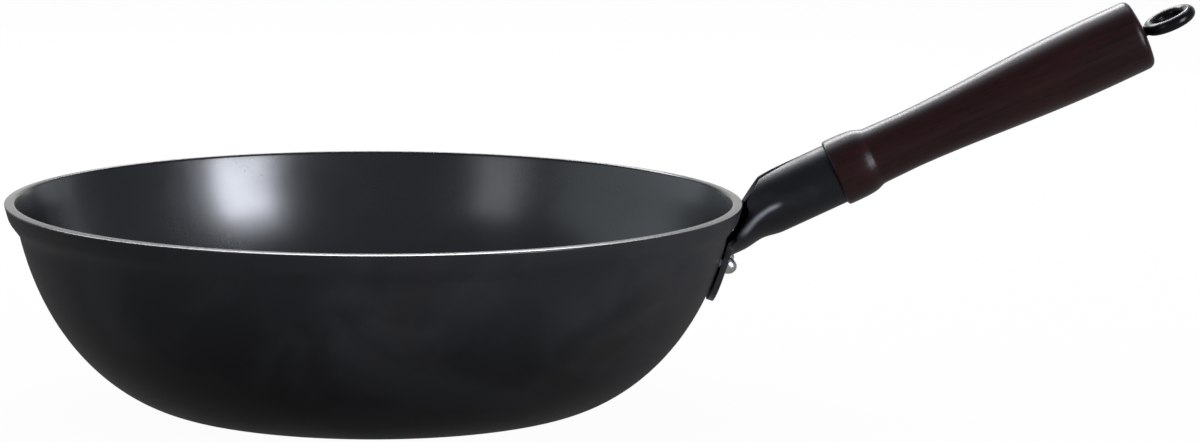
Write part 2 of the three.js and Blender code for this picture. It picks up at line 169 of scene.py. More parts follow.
class FinishNodes:
    """The node tree of one material or of the world."""

    def __init__(self, tree: bpy.types.NodeTree) -> None:
        """Empty a tree for new nodes.

        Args:
            tree: Node tree to fill.
        """
        self.tree = tree
        self.tree.nodes.clear()

    @classmethod
    def of_material(cls, name: str) -> "tuple[bpy.types.Material, FinishNodes]":
        """Start a material.

        Args:
            name: Name of the material.

        Returns:
            The material and its empty tree.
        """
        material = bpy.data.materials.new(name)
        material.use_nodes = True
        return material, cls(material.node_tree)

    def add(
        self,
        kind: str,
        settings: dict[str, Any] | None = None,
        inputs: dict[str | int, Any] | None = None,
    ) -> bpy.types.Node:
        """Add a node, set it up and feed it.

        Args:
            kind: Node type.
            settings: Properties of the node, set first.
            inputs: Values, sockets or levels by the input's identifier, name or number.

        Returns:
            The new node.
        """
        node = self.tree.nodes.new(kind)
        for key, value in (settings or {}).items():
            setattr(node, key, value)
        for key, value in (inputs or {}).items():
            self._feed(self._input(node, key), value)
        return node

    @staticmethod
    def _input(node: bpy.types.Node, key: str | int) -> bpy.types.NodeSocket:
        """Find an input of a node.

        Args:
            node: Node that has the input.
            key: Number, identifier or name of the input.

        Returns:
            The input.
        """
        if isinstance(key, int):
            return node.inputs[key]
        for socket in node.inputs:
            if socket.identifier == key:
                return socket
        return node.inputs[key]

    def _feed(self, socket: bpy.types.NodeSocket, value: Any) -> None:
        """Link an input or set its value.

        Args:
            socket: Input to feed.
            value: Level or socket to link, or a plain value.
        """
        source = value.socket if isinstance(value, Level) else value
        if isinstance(source, bpy.types.NodeSocket):
            self.tree.links.new(source, socket)
        else:
            socket.default_value = source

    def coordinates(
        self, turn: Euler | None = None, about: Vector | None = None
    ) -> bpy.types.NodeSocket:
        """Object coordinates, centred on a point and turned.

        Args:
            turn: Turn that brings the pattern's own axis onto X.
            about: Point in metres that becomes the pattern's centre.

        Returns:
            The vector output.
        """
        plain = self.add("ShaderNodeTexCoord").outputs["Object"]
        turn = turn or Euler((0, 0, 0))
        shift = -(turn.to_matrix() @ (about or Vector((0, 0, 0))))
        mapping = self.add(
            "ShaderNodeMapping",
            {"vector_type": "POINT"},
            {"Vector": plain, "Location": shift, "Rotation": turn},
        )
        return mapping.outputs["Vector"]

    def stretched(self, vector: bpy.types.NodeSocket, scale: Triple) -> bpy.types.NodeSocket:
        """Coordinates scaled on each axis."""
        node = self.add("ShaderNodeVectorMath", {"operation": "MULTIPLY"}, {0: vector, 1: scale})
        return node.outputs["Vector"]

    def axis(self, vector: bpy.types.NodeSocket, name: str) -> Level:
        """One axis of a vector."""
        node = self.add("ShaderNodeSeparateXYZ", None, {0: vector})
        return Level(self, node.outputs[name])

    def pattern(self, vector: bpy.types.NodeSocket, pattern: Pattern) -> Level:
        """Lay a pattern over a surface.

        Args:
            vector: Coordinates.
            pattern: Noise to lay.

        Returns:
            The noise, or its span from 0 to 1, as a level.
        """
        if pattern.stretch:
            vector = self.stretched(vector, pattern.stretch)
        node = self.add(
            "ShaderNodeTexNoise",
            None,
            {
                "Vector": vector,
                "Scale": pattern.scale,
                "Detail": pattern.detail,
                "Distortion": pattern.distortion,
            },
        )
        level = Level(self, node.outputs["Fac"])
        return self.ramp(level, *pattern.span) if pattern.span else level

    def patterns(self, vector: bpy.types.NodeSocket, *patterns: Pattern) -> list[Level]:
        """Several patterns over one surface, as levels."""
        return [self.pattern(vector, pattern) for pattern in patterns]

    def ramp(self, level: Level, low: float, high: float) -> Level:
        """Smooth rise of a level from 0 at low to 1 at high."""
        node = self.add(
            "ShaderNodeMapRange",
            {"interpolation_type": "SMOOTHSTEP"},
            {"Value": level, "From Min": low, "From Max": high},
        )
        return Level(self, node.outputs["Result"])

    def mix(self, share: Level, first: Any, second: Any) -> bpy.types.NodeSocket:
        """Colour between two colours."""
        node = self.add(
            "ShaderNodeMix",
            {"data_type": "RGBA"},
            {"Factor_Float": share, "A_Color": first, "B_Color": second},
        )
        return next(s for s in node.outputs if s.identifier == "Result_Color")

    def bump(self, height: Level, depth: float, strength: float) -> bpy.types.NodeSocket:
        """Normal from a height.

        Args:
            height: Height from 0 to 1.
            depth: Depth in metres of a whole step of height.
            strength: Share of the effect.

        Returns:
            The normal output.
        """
        node = self.add(
            "ShaderNodeBump",
            None,
            {"Height": height, "Distance": depth, "Strength": strength},
        )
        return node.outputs["Normal"]

    def close(self, inputs: dict[str | int, Any]) -> None:
        """End a material in a Principled shader.

        Args:
            inputs: Values, sockets or levels of the shader's inputs.
        """
        shader = self.add("ShaderNodeBsdfPrincipled", None, inputs)
        self.add("ShaderNodeOutputMaterial", None, {"Surface": shader.outputs["BSDF"]})


# Finishes


@dataclass(frozen=True)
class SeasonedIron:
    """Cast iron under a baked-on oil film, with casting grain, cloudy patches and, where asked,
    painted shade towards the base.
    """

    name: str
    deep: Colour
    clouded: Colour
    browned: Colour
    roughness: float
    roughness_spread: float
    gloss: float
    grain_depth: float
    base_shade: float = 0.0
    base_shade_colour: Colour = grey(0.003)
    base_shade_top: float = 80.0
    base_shade_waver: float = 20.0
    brown_share: float = 0.55
    grain_roughness: float = 0.08
    grain_height: float = 0.7
    pit_height: float = 0.3
    relief_share: float = 0.5
    clouds: Pattern = Pattern(22.0, 4.0, 0.6, span=(0.36, 0.68))
    patches: Pattern = Pattern(12.1, 3.0, 1.2, span=(0.56, 0.74))
    grain: Pattern = Pattern(1400.0, 2.0)
    pits: Pattern = Pattern(420.0, 2.0, span=(0.66, 0.76))

    def material(self) -> bpy.types.Material:
        """Build the iron's material.

        Returns:
            The material.
        """
        material, nodes = FinishNodes.of_material(self.name)
        place = nodes.coordinates()
        cloud, patch, grain, pits = nodes.patterns(
            place, self.clouds, self.patches, self.grain, self.pits
        )
        colour = nodes.mix(cloud, self.deep, self.clouded)
        colour = nodes.mix(patch * self.brown_share, colour, self.browned)
        # Painted shade: the outside turns darker towards the base, under a wavering edge.
        if self.base_shade:
            above_base = nodes.axis(place, "Z") + cloud.swing(self.base_shade_waver * MM)
            below = 1.0 - nodes.ramp(above_base, 0.0, self.base_shade_top * MM)
            colour = nodes.mix(below * self.base_shade, colour, self.base_shade_colour)
        clouded_roughness = self.roughness + cloud.swing(self.roughness_spread)
        height = grain * self.grain_height - pits * self.pit_height
        nodes.close({
            "Base Color": colour,
            "Roughness": clouded_roughness + grain.swing(self.grain_roughness),
            "Specular IOR Level": self.gloss,
            "Normal": nodes.bump(height, self.grain_depth * MM, self.relief_share),
        })
        return material


@dataclass(frozen=True)
class BlackPaint:
    """Black stove paint on bent metal, with a slight orange peel, dusty rubs and, where a layer marks
    it, a painted highlight.
    """

    name: str
    deep: Colour
    lightened: Colour
    roughness: float
    gloss: float
    highlight_colour: Colour | None = None
    highlight_share: float = 0.7
    highlight_by_rubs: float = 0.3
    rub_roughness: float = 0.1
    fine_roughness: float = 0.08
    peel_height: float = 0.8
    fine_height: float = 0.2
    peel_depth: float = 0.03
    relief_share: float = 0.5
    rubs: Pattern = Pattern(60.0, 5.0, 0.8, span=(0.46, 0.72))
    peel: Pattern = Pattern(520.0, 2.0)
    fine: Pattern = Pattern(2080.0, 2.0)

    def material(self) -> bpy.types.Material:
        """Build the paint's material.

        Returns:
            The material.
        """
        material, nodes = FinishNodes.of_material(self.name)
        place = nodes.coordinates()
        rubs, peel, fine = nodes.patterns(place, self.rubs, self.peel, self.fine)
        colour = nodes.mix(rubs, self.deep, self.lightened)
        # Painted highlight: a light grey line where the mesh layer marks the crease.
        if self.highlight_colour:
            layer = nodes.add("ShaderNodeAttribute", {"attribute_name": HIGHLIGHT_LAYER})
            highlit = self.highlight_share + rubs * self.highlight_by_rubs
            colour = nodes.mix(Level(nodes, layer.outputs["Fac"]) * highlit, colour, self.highlight_colour)
        height = peel * self.peel_height + fine * self.fine_height
        nodes.close({
            "Base Color": colour,
            "Roughness": self.roughness + rubs * self.rub_roughness + fine.swing(self.fine_roughness),
            "Specular IOR Level": self.gloss,
            "Normal": nodes.bump(height, self.peel_depth * MM, self.relief_share),
        })
        return material


@dataclass(frozen=True)
class BareSteel:
    """Bright steel with fine scratches and dull spots."""

    name: str
    bright: Colour
    dull: Colour
    roughness: float
    spot_roughness: float = 0.2
    scratch_roughness: float = 0.15
    scratch_depth: float = 0.02
    relief_share: float = 0.4
    scratches: Pattern = Pattern(2600.0, 3.0, stretch=(1.0, 0.2, 1.0))
    spots: Pattern = Pattern(700.0, 3.0, span=(0.5, 0.72))

    def material(self) -> bpy.types.Material:
        """Build the steel's material.

        Returns:
            The material.
        """
        material, nodes = FinishNodes.of_material(self.name)
        scratches, spots = nodes.patterns(nodes.coordinates(), self.scratches, self.spots)
        dulled = self.roughness + spots * self.spot_roughness
        nodes.close({
            "Base Color": nodes.mix(spots, self.bright, self.dull),
            "Metallic": 1.0,
            "Roughness": dulled + scratches.swing(self.scratch_roughness),
            "Normal": nodes.bump(scratches, self.scratch_depth * MM, self.relief_share),
        })
        return material


@dataclass(frozen=True)
class LacqueredWood:
    """Dark stained hardwood under clear lacquer, its grain along the handle."""

    name: str
    deep: Colour
    stain: Colour
    flame: Colour
    turn: Euler
    about: Vector
    lacquer_roughness: float
    lacquer_ior: float
    wood_roughness: float = 0.42
    wood_gloss: float = 0.04
    streak_roughness: float = 0.2
    streak_tone: float = 0.65
    ring_tone: float = 0.35
    tone_span: Point = (0.3, 0.72)
    flame_share: float = 0.6
    pore_share: float = 0.7
    bare_pores: float = 0.25
    streak_height: float = 0.5
    pore_height: float = 0.5
    grain_depth: float = 0.03
    relief_share: float = 0.45
    streaks: Pattern = Pattern(330.0, 5.0, 0.4, stretch=(0.035, 1.0, 1.0))
    pores: Pattern = Pattern(1700.0, 2.0, span=(0.58, 0.7), stretch=(0.05, 1.0, 1.0))
    blotches: Pattern = Pattern(38.0, 3.0, span=(0.35, 0.7), stretch=(0.35, 1.0, 1.0))
    ring_scale: float = 75.0
    ring_stretch: Triple = (0.1, 0.6, 1.0)
    ring_distortion: float = 5.0
    ring_detail: float = 3.0
    ring_detail_scale: float = 1.2

    def rings(self, nodes: FinishNodes, place: bpy.types.NodeSocket) -> Level:
        """Growth rings, cut lengthwise.

        Args:
            nodes: Node tree of the wood.
            place: Coordinates along the handle.

        Returns:
            The rings as a level.
        """
        bands = nodes.add(
            "ShaderNodeTexWave",
            {"wave_type": "BANDS", "bands_direction": "Z", "wave_profile": "SAW"},
            {
                "Vector": nodes.stretched(place, self.ring_stretch),
                "Scale": self.ring_scale,
                "Distortion": self.ring_distortion,
                "Detail": self.ring_detail,
                "Detail Scale": self.ring_detail_scale,
            },
        )
        return Level(nodes, bands.outputs["Fac"])

    def material(self) -> bpy.types.Material:
        """Build the wood's material.

        Returns:
            The material.
        """
        material, nodes = FinishNodes.of_material(self.name)
        place = nodes.coordinates(self.turn, self.about)
        streaks, pores, blotches = nodes.patterns(place, self.streaks, self.pores, self.blotches)
        figure = streaks * self.streak_tone + self.rings(nodes, place) * self.ring_tone
        colour = nodes.mix(nodes.ramp(figure, *self.tone_span), self.deep, self.stain)
        colour = nodes.mix(blotches * self.flame_share, colour, self.flame)
        colour = nodes.mix(pores * self.pore_share, colour, self.deep)
        height = streaks * self.streak_height - pores * self.pore_height
        nodes.close({
            "Base Color": colour,
            "Roughness": self.wood_roughness + streaks.swing(self.streak_roughness),
            "Specular IOR Level": self.wood_gloss,
            "Coat Weight": 1.0 - pores * self.bare_pores,
            "Coat Roughness": self.lacquer_roughness,
            "Coat IOR": self.lacquer_ior,
            "Normal": nodes.bump(height, self.grain_depth * MM, self.relief_share),
        })
        return material


# Modelling


class Outline:
    """A half profile drawn from point to point, as (radius, height) in millimetres."""

    def __init__(self, start: Point) -> None:
        """Begin at a point.

        Args:
            start: First point.
        """
        self.points: list[Point] = [start]

    def line(self, end: Corner, steps: int = 1) -> "Outline":
        """Go straight to a point in even steps."""
        return self.curve([end], steps)

    def curve(self, corners: list[Corner], steps: int) -> "Outline":
        """Go round a Bezier curve.

        Args:
            corners: Its control points after the present one, ending where the curve ends.
            steps: Number of new points.

        Returns:
            The outline itself.
        """
        controls = [self.points[-1], *corners]
        for step in range(1, steps + 1):
            share = step / steps
            ring = list(controls)
            while len(ring) > 1:
                ring = [
                    (lerp(a[0], b[0], share), lerp(a[1], b[1], share)) for a, b in zip(ring, ring[1:])
                ]
            self.points.append(ring[0])
        return self


class Bench:
    """Moves at the workbench that the pieces share."""

    @staticmethod
    def clear() -> None:
        """Put everything down: object mode and nothing selected."""
        if bpy.context.mode != "OBJECT":
            bpy.ops.object.mode_set(mode="OBJECT")
        bpy.ops.object.select_all(action="DESELECT")

    @staticmethod
    def take(piece: bpy.types.Object) -> None:
        """Select one piece alone and make it active.

        Args:
            piece: Piece to take up.
        """
        Bench.clear()
        piece.select_set(True)
        bpy.context.view_layer.objects.active = piece

    @staticmethod
    def name(piece: bpy.types.Object, name: str) -> None:
        """Name a piece and its mesh."""
        piece.name = name
        piece.data.name = name

    @staticmethod
    def start(name: str, primitive: Callable[..., Any], **settings: Any) -> bpy.types.Object:
        """Add a primitive to start a piece from.

        Args:
            name: Name of the piece.
            primitive: Operator that adds the primitive.
            **settings: Its size and place.

        Returns:
            The new piece.
        """
        Bench.clear()
        primitive(**settings)
        piece = bpy.context.object
        Bench.name(piece, name)
        return piece

    @staticmethod
    def spin(name: str, outline: list[Point], steps: int) -> bpy.types.Object:
        """Turn a half profile about the Z axis into a closed piece.

        Args:
            name: Name of the piece.
            outline: Profile points as (radius, height) in millimetres.
            steps: Number of sides round the axis.

        Returns:
            The turned piece.
        """
        piece = Bench.start(name, bpy.ops.mesh.primitive_plane_add, size=MM)
        bpy.ops.object.mode_set(mode="EDIT")
        bpy.ops.mesh.select_mode(type="VERT")
        bpy.ops.mesh.select_all(action="SELECT")
        bpy.ops.mesh.merge(type="CENTER")
        places = [Vector((radius * MM, 0.0, height * MM)) for radius, height in outline]
        bpy.ops.transform.translate(value=places[0])
        for start, end in zip(places, places[1:]):
            bpy.ops.mesh.extrude_region_move(TRANSFORM_OT_translate={"value": end - start})
        bpy.ops.mesh.select_all(action="SELECT")
        bpy.ops.mesh.spin(steps=steps, angle=math.tau, center=(0, 0, 0), axis=(0, 0, 1))
        bpy.ops.mesh.select_all(action="SELECT")
        bpy.ops.mesh.remove_doubles(threshold=WELD)
        bpy.ops.mesh.normals_make_consistent(inside=False)
        bpy.ops.object.mode_set(mode="OBJECT")
        return piece

    @staticmethod
    def pick_faces(piece: bpy.types.Object, wanted: Callable[[bpy.types.MeshPolygon], bool]) -> None:
        """Open a piece in edit mode with some of its faces selected.

        Args:
            piece: Piece to open.
            wanted: Test of the faces to select.
        """
        Bench.take(piece)
        bpy.ops.object.mode_set(mode="EDIT")
        bpy.ops.mesh.select_mode(type="FACE")
        bpy.ops.mesh.select_all(action="DESELECT")
        bpy.ops.object.mode_set(mode="OBJECT")
        for face in piece.data.polygons:
            face.select = wanted(face)
        bpy.ops.object.mode_set(mode="EDIT")

    @staticmethod
    def settle(piece: bpy.types.Object) -> None:
        """Keep a piece's place, turn and scale in its mesh."""
        Bench.take(piece)
        bpy.ops.object.transform_apply(location=True, rotation=True, scale=True)

    @staticmethod
    def set_down(piece: bpy.types.Object, place: Matrix) -> None:
        """Move a piece to its place and keep the place in its mesh."""
        piece.matrix_world = place
        Bench.settle(piece)

    @staticmethod
    def modify(piece: bpy.types.Object, kind: str, **settings: Any) -> None:
        """Add a modifier, set it up and apply it.

        Args:
            piece: Piece to change.
            kind: Modifier type.
            **settings: Properties of the modifier.
        """
        Bench.take(piece)
        modifier = piece.modifiers.new(kind.title(), kind)
        for key, value in settings.items():
            setattr(modifier, key, value)
        bpy.ops.object.modifier_apply(modifier=modifier.name)

    @staticmethod
    def smooth(piece: bpy.types.Object, degrees: float = 40.0) -> None:
        """Shade a piece smooth except over edges sharper than an angle."""
        Bench.take(piece)
        bpy.ops.object.shade_smooth_by_angle(angle=math.radians(degrees))

    @staticmethod
    def dress(piece: bpy.types.Object, *materials: bpy.types.Material) -> None:
        """Give a piece its materials.

        Args:
            piece: Piece to dress.
            *materials: Its materials in order.
        """
        piece.data.materials.clear()
        for material in materials:
            piece.data.materials.append(material)

    @staticmethod
    def hand_over(piece: bpy.types.Object, body: Body, slot: Slot, node: str) -> None:
        """Tie a piece to its body and hide the solid it stands for.

        Args:
            piece: Finished piece.
            body: Body that it moves with.
            slot: Slot that its finish belongs to. Not used.
            node: Solid that it replaces.
        """
        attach(piece, body.value)
        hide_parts(node)
        LOG.info("%s: %d faces", piece.name, len(piece.data.polygons))


# Sub-assemblies


class Zone(Enum):
    """Zones of the bowl's surface, in the order of its materials."""

    OUTSIDE = 0
    INSIDE = 1
    RIM = 2


@dataclass
class Bowl:
    """The wok's bowl with the thickened band round its rim."""

    rim_radius: float = 160.0
    height: float = 88.0
    base_radius: float = 93.5
    wall: float = 2.3
    base_ease: float = 6.0
    wall_ease: float = 61.0
    lean_at_rim: float = math.radians(13)
    band_height: float = 13.4
    band_face: float = 7.4
    band_taper: float = 1.7
    band_corner_round: float = 2.0
    rim_flare: float = 6.2
    rim_width: float = 4.3
    rim_round: float = 0.5
    rim_inner_round: float = 1.1
    rim_slope: float = math.radians(9.6)
    lip_ease: float = 6.0
    lip_thinning: float = 0.75
    thinning_from: float = 0.5
    sides: int = 192
    wall_steps: int = 44
    corner_steps: int = 6
    floor_steps: int = 10
    flat_steps: int = 2
    halvings: int = 40
    sharp_over: float = 35.0

    def band_foot(self) -> Point:
        """Where the band meets the outer wall."""
        return (self.rim_radius - self.rim_flare, self.height - self.band_height)

    def band_corner(self) -> Point:
        """Lower corner of the band's upright face."""
        return (self.rim_radius - self.band_taper, self.height - self.band_face)

    def shoulder(self) -> Point:
        """Upper end of the solid's band face, which the bracket's wings keep clear of."""
        return (self.rim_radius, self.height - self.rim_round)

    def rim_edge(self) -> Point:
        """Outer corner of the rim, which slopes down outwards."""
        flat = self.rim_width - self.rim_inner_round
        return (self.rim_radius, self.height - flat * math.tan(self.rim_slope))

    def wall_controls(self) -> list[Point]:
        """Lay out the outer wall.

        Returns:
            Control points of its curve from the base edge up to the band.
        """
        foot = self.band_foot()
        below = (
            foot[0] - math.sin(self.lean_at_rim) * self.wall_ease,
            foot[1] - math.cos(self.lean_at_rim) * self.wall_ease,
        )
        return [(self.base_radius, 0.0), (self.base_radius + self.base_ease, 0.0), below, foot]

    def wall_point(self, share: float) -> tuple[Vector, Vector]:
        """Follow the outer wall.

        Args:
            share: Share of its curve from the base edge.

        Returns:
            The place there and the unit direction of the wall.
        """
        a, b, c, d = (Vector(point) for point in self.wall_controls())
        rest = 1 - share
        place = a * rest**3 + b * (3 * rest**2 * share) + c * (3 * rest * share**2) + d * share**3
        along = (b - a) * rest**2 + (c - b) * (2 * rest * share) + (d - c) * share**2
        return place, along.normalized()

    def wall_at(self, height: float) -> Point:
        """Find the outer wall at a height.

        Args:
            height: Height over the base.

        Returns:
            Its radius and its lean from the vertical.
        """
        low, high = 0.0, 1.0
        for _ in range(self.halvings):
            middle = (low + high) / 2
            if self.wall_point(middle)[0].y < height:
                low = middle
            else:
                high = middle
        place, along = self.wall_point(low)
        return place.x, math.atan2(along.x, along.y)

    def inner_wall(self) -> list[Point]:
        """Follow the inside of the wall, which thins towards the lip.

        Returns:
            Points from the floor up to the lip.
        """
        places = []
        for step in range(self.wall_steps + 1):
            share = step / self.wall_steps
            place, along = self.wall_point(share)
            wall = self.wall - self.lip_thinning * smoothstep(share, self.thinning_from, 1.0)
            places.append((place.x - along.y * wall, place.y + along.x * wall))
        return places

    def outline(self) -> list[Point]:
        """Draw the bowl's half profile.

        Returns:
            Points from the middle of the underside round to the middle of the floor.
        """
        inner = self.inner_wall()
        corner = Vector(self.band_corner())
        to_foot = corner + (Vector(self.band_foot()) - corner).normalized() * self.band_corner_round
        edge = Vector(self.rim_edge())
        shoulder = edge - Vector((0, self.rim_round))
        to_top = corner + (shoulder - corner).normalized() * self.band_corner_round
        wall_up = Vector((math.sin(self.lean_at_rim), math.cos(self.lean_at_rim)))
        lip_turn = Vector(inner[-1]) + wall_up * self.lip_ease
        lip = Vector((self.rim_radius - self.rim_width, self.height))
        lip_foot = lip + (lip_turn - lip).normalized() * self.rim_inner_round
        lip_top = lip + Vector((self.rim_inner_round, 0))
        past_edge = edge + (lip_top - edge).normalized() * self.rim_round
        drawn = Outline((0.0, 0.0)).line((self.base_radius, 0.0), self.floor_steps)
        drawn.curve(self.wall_controls()[1:], self.wall_steps)
        for start, turn, end in (
            (to_foot, corner, to_top),
            (shoulder, edge, past_edge),
            (lip_top, lip, lip_foot),
        ):
            drawn.line(start, self.flat_steps).curve([turn, end], self.corner_steps)
        drawn.curve([lip_turn, inner[-1]], self.corner_steps)
        floor = Outline(inner[0]).line((0.0, self.wall), self.floor_steps)
        return [*drawn.points, *reversed(inner[:-1]), *floor.points[1:]]

    def zone(self, face: bpy.types.MeshPolygon) -> Zone:
        """Sort a face into its zone.

        Args:
            face: Face of the turned bowl.

        Returns:
            The zone of the surface that it belongs to.
        """
        radius = Vector(face.center).xy.length / MM
        height = face.center.z / MM
        if height > self.rim_edge()[1] - self.rim_round:
            return Zone.RIM
        outward = Vector(face.normal).xy.dot(Vector(face.center).xy) > 0
        below = face.normal.z < 0
        flat = radius < self.base_radius - self.wall
        return Zone.OUTSIDE if (below if flat else outward) else Zone.INSIDE

    def build(self, finishes: dict[Zone, bpy.types.Material]) -> None:
        """Turn the bowl and dress its zones.

        Args:
            finishes: Material of each zone.
        """
        piece = Bench.spin("iron_bowl", self.outline(), self.sides)
        Bench.dress(piece, *(finishes[zone] for zone in Zone))
        for face in piece.data.polygons:
            face.material_index = self.zone(face).value
        Bench.smooth(piece, self.sharp_over)
        Bench.hand_over(piece, Body.PAN, Slot.IRON, "wok_bowl")


@dataclass
class HandleSocket:
    """Sheet bent from a tongue on the bowl wall into a rolled socket for the grip."""

    bowl: Bowl
    sheet: float = 2.6
    seat_below_band: float = 12.3
    tongue_width: float = 36.0
    tongue_sides: float = 7.0
    tongue_tip: float = 14.0
    tongue_spread: float = 0.5
    tongue_neck: float = 14.0
    notch_width: float = 2.4
    relief_depth: float = 4.5
    relief_width: float = 12.5
    keel_rise: float = 2.4
    keel_radius: float = 16.0
    crease_radius: float = 2.5
    crease_length: float = 2.5
    crease_offset: float = 13.75
    crease_end_offset: float = 17.75
    pinch: float = math.radians(26)
    pinch_length: float = 7.0
    pinch_start: float = 16.0
    pinch_fade: float = 18.0
    neck_start: float = 8.0
    neck_length: float = 20.0
    neck_lift: float = 1.2
    front_sweep: float = 0.67
    front_sweep_from: float = 16.0
    vee_width: float = 4.2
    vee_run: float = 18.0
    rim_clearance: float = 0.5
    bend_run: float = 2.0
    radius: float = 13.5
    seam: float = 0.8
    pitch: float = math.radians(25.4)
    reach: float = 58.0
    fit: float = 0.3
    closing: float = 0.28
    edge_round: float = 0.25
    edge_over: float = math.radians(55)
    edge_segments: int = 3
    highlight_width: float = 0.75
    highlight_from: float = 9.0
    highlight_to: float = 33.0
    highlight_fade: float = 5.0
    section_steps: int = 160
    averagings: int = 30
    tongue_columns: int = 30
    wing_columns: int = 40
    wing_crowding: float = 1.25
    socket_rows: int = 44
    bend_rows: int = 8
    tongue_rows: int = 18
    along: Vector = field(init=False)
    up: Vector = field(init=False)
    tongue_up: Vector = field(init=False)
    tongue_out: Vector = field(init=False)
    seat: Vector = field(init=False)
    keel: Vector = field(init=False)
    roll_radius: float = field(init=False)
    roll_half: float = field(init=False)
    bend_angle: float = field(init=False)
    wing_run: float = field(init=False)

    def __post_init__(self) -> None:
        """Work out the frames of the tongue and of the socket."""
        height = self.bowl.band_foot()[1] - self.seat_below_band
        wall_radius, lean = self.bowl.wall_at(height)
        self.along = Vector((math.cos(self.pitch), 0, math.sin(self.pitch)))
        self.up = Vector((-math.sin(self.pitch), 0, math.cos(self.pitch)))
        self.tongue_up = Vector((math.sin(lean), 0, math.cos(lean)))
        self.tongue_out = Vector((math.cos(lean), 0, -math.sin(lean)))
        self.seat = Vector((wall_radius, 0, height)) + self.tongue_out * (self.fit + self.sheet / 2)
        self.keel = self.seat + self.tongue_up * self.keel_rise
        self.roll_radius = self.radius - self.sheet / 2
        self.roll_half = math.pi * self.roll_radius - self.seam / 2
        self.bend_angle = math.pi / 2 - lean - self.pitch
        rim = self.bowl.rim_radius
        proud = max(
            (Vector((x, 0, z)) - self.keel).dot(self.tongue_out)
            for x, z in (self.bowl.band_corner(), self.bowl.shoulder())
        )
        recess = rim - math.sqrt(rim**2 - self.roll_radius**2)
        self.wing_run = (proud - recess + self.rim_clearance) / math.sin(self.bend_angle)

    def mouth(self) -> Vector:
        """Middle of the socket's open end."""
        return self.keel + self.along * self.reach + self.up * self.roll_radius

    def rolled(self, distance: float) -> float:
        """Share of its roll that the sheet has at a distance along the socket."""
        return smoothstep(distance, self.neck_start, self.neck_start + self.neck_length)

    def crease_at(self, distance: float) -> float:
        """Where round the sheet its crease begins at a distance along the socket."""
        return lerp(self.crease_offset, self.crease_end_offset, self.rolled(distance))

    def section(self, distance: float, around: float) -> Point:
        """Side offset and height of the rolled sheet.

        Args:
            distance: Distance along the socket from the keel's bend.
            around: Place on the sheet measured round from its middle line.

        Returns:
            Offset to the side and height over the keel.
        """
        roll = self.rolled(distance)
        keel_bend = lerp(1 / self.keel_radius, 1 / self.roll_radius, roll)
        crease_bend = lerp(1 / self.crease_radius, 1 / self.roll_radius, roll)
        wing_bend = roll / self.roll_radius
        pinch_end = self.pinch_start + self.pinch_fade
        pinch = self.pinch * (1 - smoothstep(distance, self.pinch_start, pinch_end))
        zones = (
            (self.crease_at(distance), keel_bend),
            (self.crease_length, crease_bend + pinch / self.crease_length),
            (self.pinch_length, wing_bend - pinch / self.pinch_length),
            (math.inf, wing_bend),
        )
        stride = abs(around) / self.section_steps
        side = height = 0.0
        for step in range(self.section_steps):
            turn, rest = 0.0, (step + 0.5) * stride
            for length, bend in zones:
                turn += bend * min(rest, length)
                rest = max(0.0, rest - length)
            side += math.cos(turn) * stride
            height += math.sin(turn) * stride
        low = max(0.0, 1 - height / (2 * self.roll_radius))
        lift = self.neck_lift * low * math.sin(math.pi * roll)
        return math.copysign(side, around), height + lift

    def front(self, around: float) -> float:
        """Find where the rolled sheet ends towards the bowl.

        Args:
            around: Place on the sheet measured round from its middle line.

        Returns:
            Distance along the socket of the tongue's bend or of a wing's front edge.
        """
        past = abs(around) - self.tongue_neck
        relieved = around < 0 and 0 < past < self.relief_width
        relief = self.relief_depth * math.sin(math.pi * past / self.relief_width) if relieved else 0.0
        run = lerp(self.bend_run, self.wing_run + relief, smoothstep(past, 0, self.notch_width))
        distance = run
        for _ in range(self.averagings):
            height = self.section(distance, around)[1]
            sweep = self.front_sweep * max(0.0, height - self.front_sweep_from)
            distance = (distance + run + height / math.tan(self.bend_angle) + sweep) / 2
        into_vee = max(0.0, abs(around) - self.roll_half + self.vee_width)
        return distance + self.vee_run / self.vee_width * into_vee

    def columns(self) -> list[float]:
        """Divide the sheet into columns.

        Returns:
            Places round the sheet, from the near wing's edge to the far one's.
        """
        wing = [
            lerp(self.tongue_neck, self.roll_half, (step / self.wing_columns) ** self.wing_crowding)
            for step in range(1, self.wing_columns + 1)
        ]
        tongue = [
            self.tongue_neck * math.sin(math.pi * (step / self.tongue_columns - 0.5))
            for step in range(self.tongue_columns + 1)
        ]
        return [*(-place for place in reversed(wing)), *tongue, *wing]

    def socket_place(self, distance: float, around: float) -> Vector:
        """Find a point of the rolled sheet's middle surface.

        Args:
            distance: Distance along the socket from the keel's bend.
            around: Place on the sheet measured round from its middle line.

        Returns:
            The point.
        """
        side, height = self.section(distance, around)
        place = self.keel + self.along * distance + self.up * height
        place.y = side
        return place

    def painted_highlight(self, distance: float, around: float) -> float:
        """Paint a highlight along the crease.

        Args:
            distance: Distance along the socket from the keel's bend.
            around: Place on the sheet measured round from its middle line.

        Returns:
            Share of the painted highlight there.
        """
        ridge = self.crease_at(distance) + self.crease_length / 2
        near = math.exp(-(((abs(around) - ridge) / self.highlight_width) ** 2))
        starts = smoothstep(distance, self.highlight_from, self.highlight_from + self.highlight_fade)
        return near * starts * (1 - smoothstep(distance, self.highlight_to - self.highlight_fade, self.highlight_to))

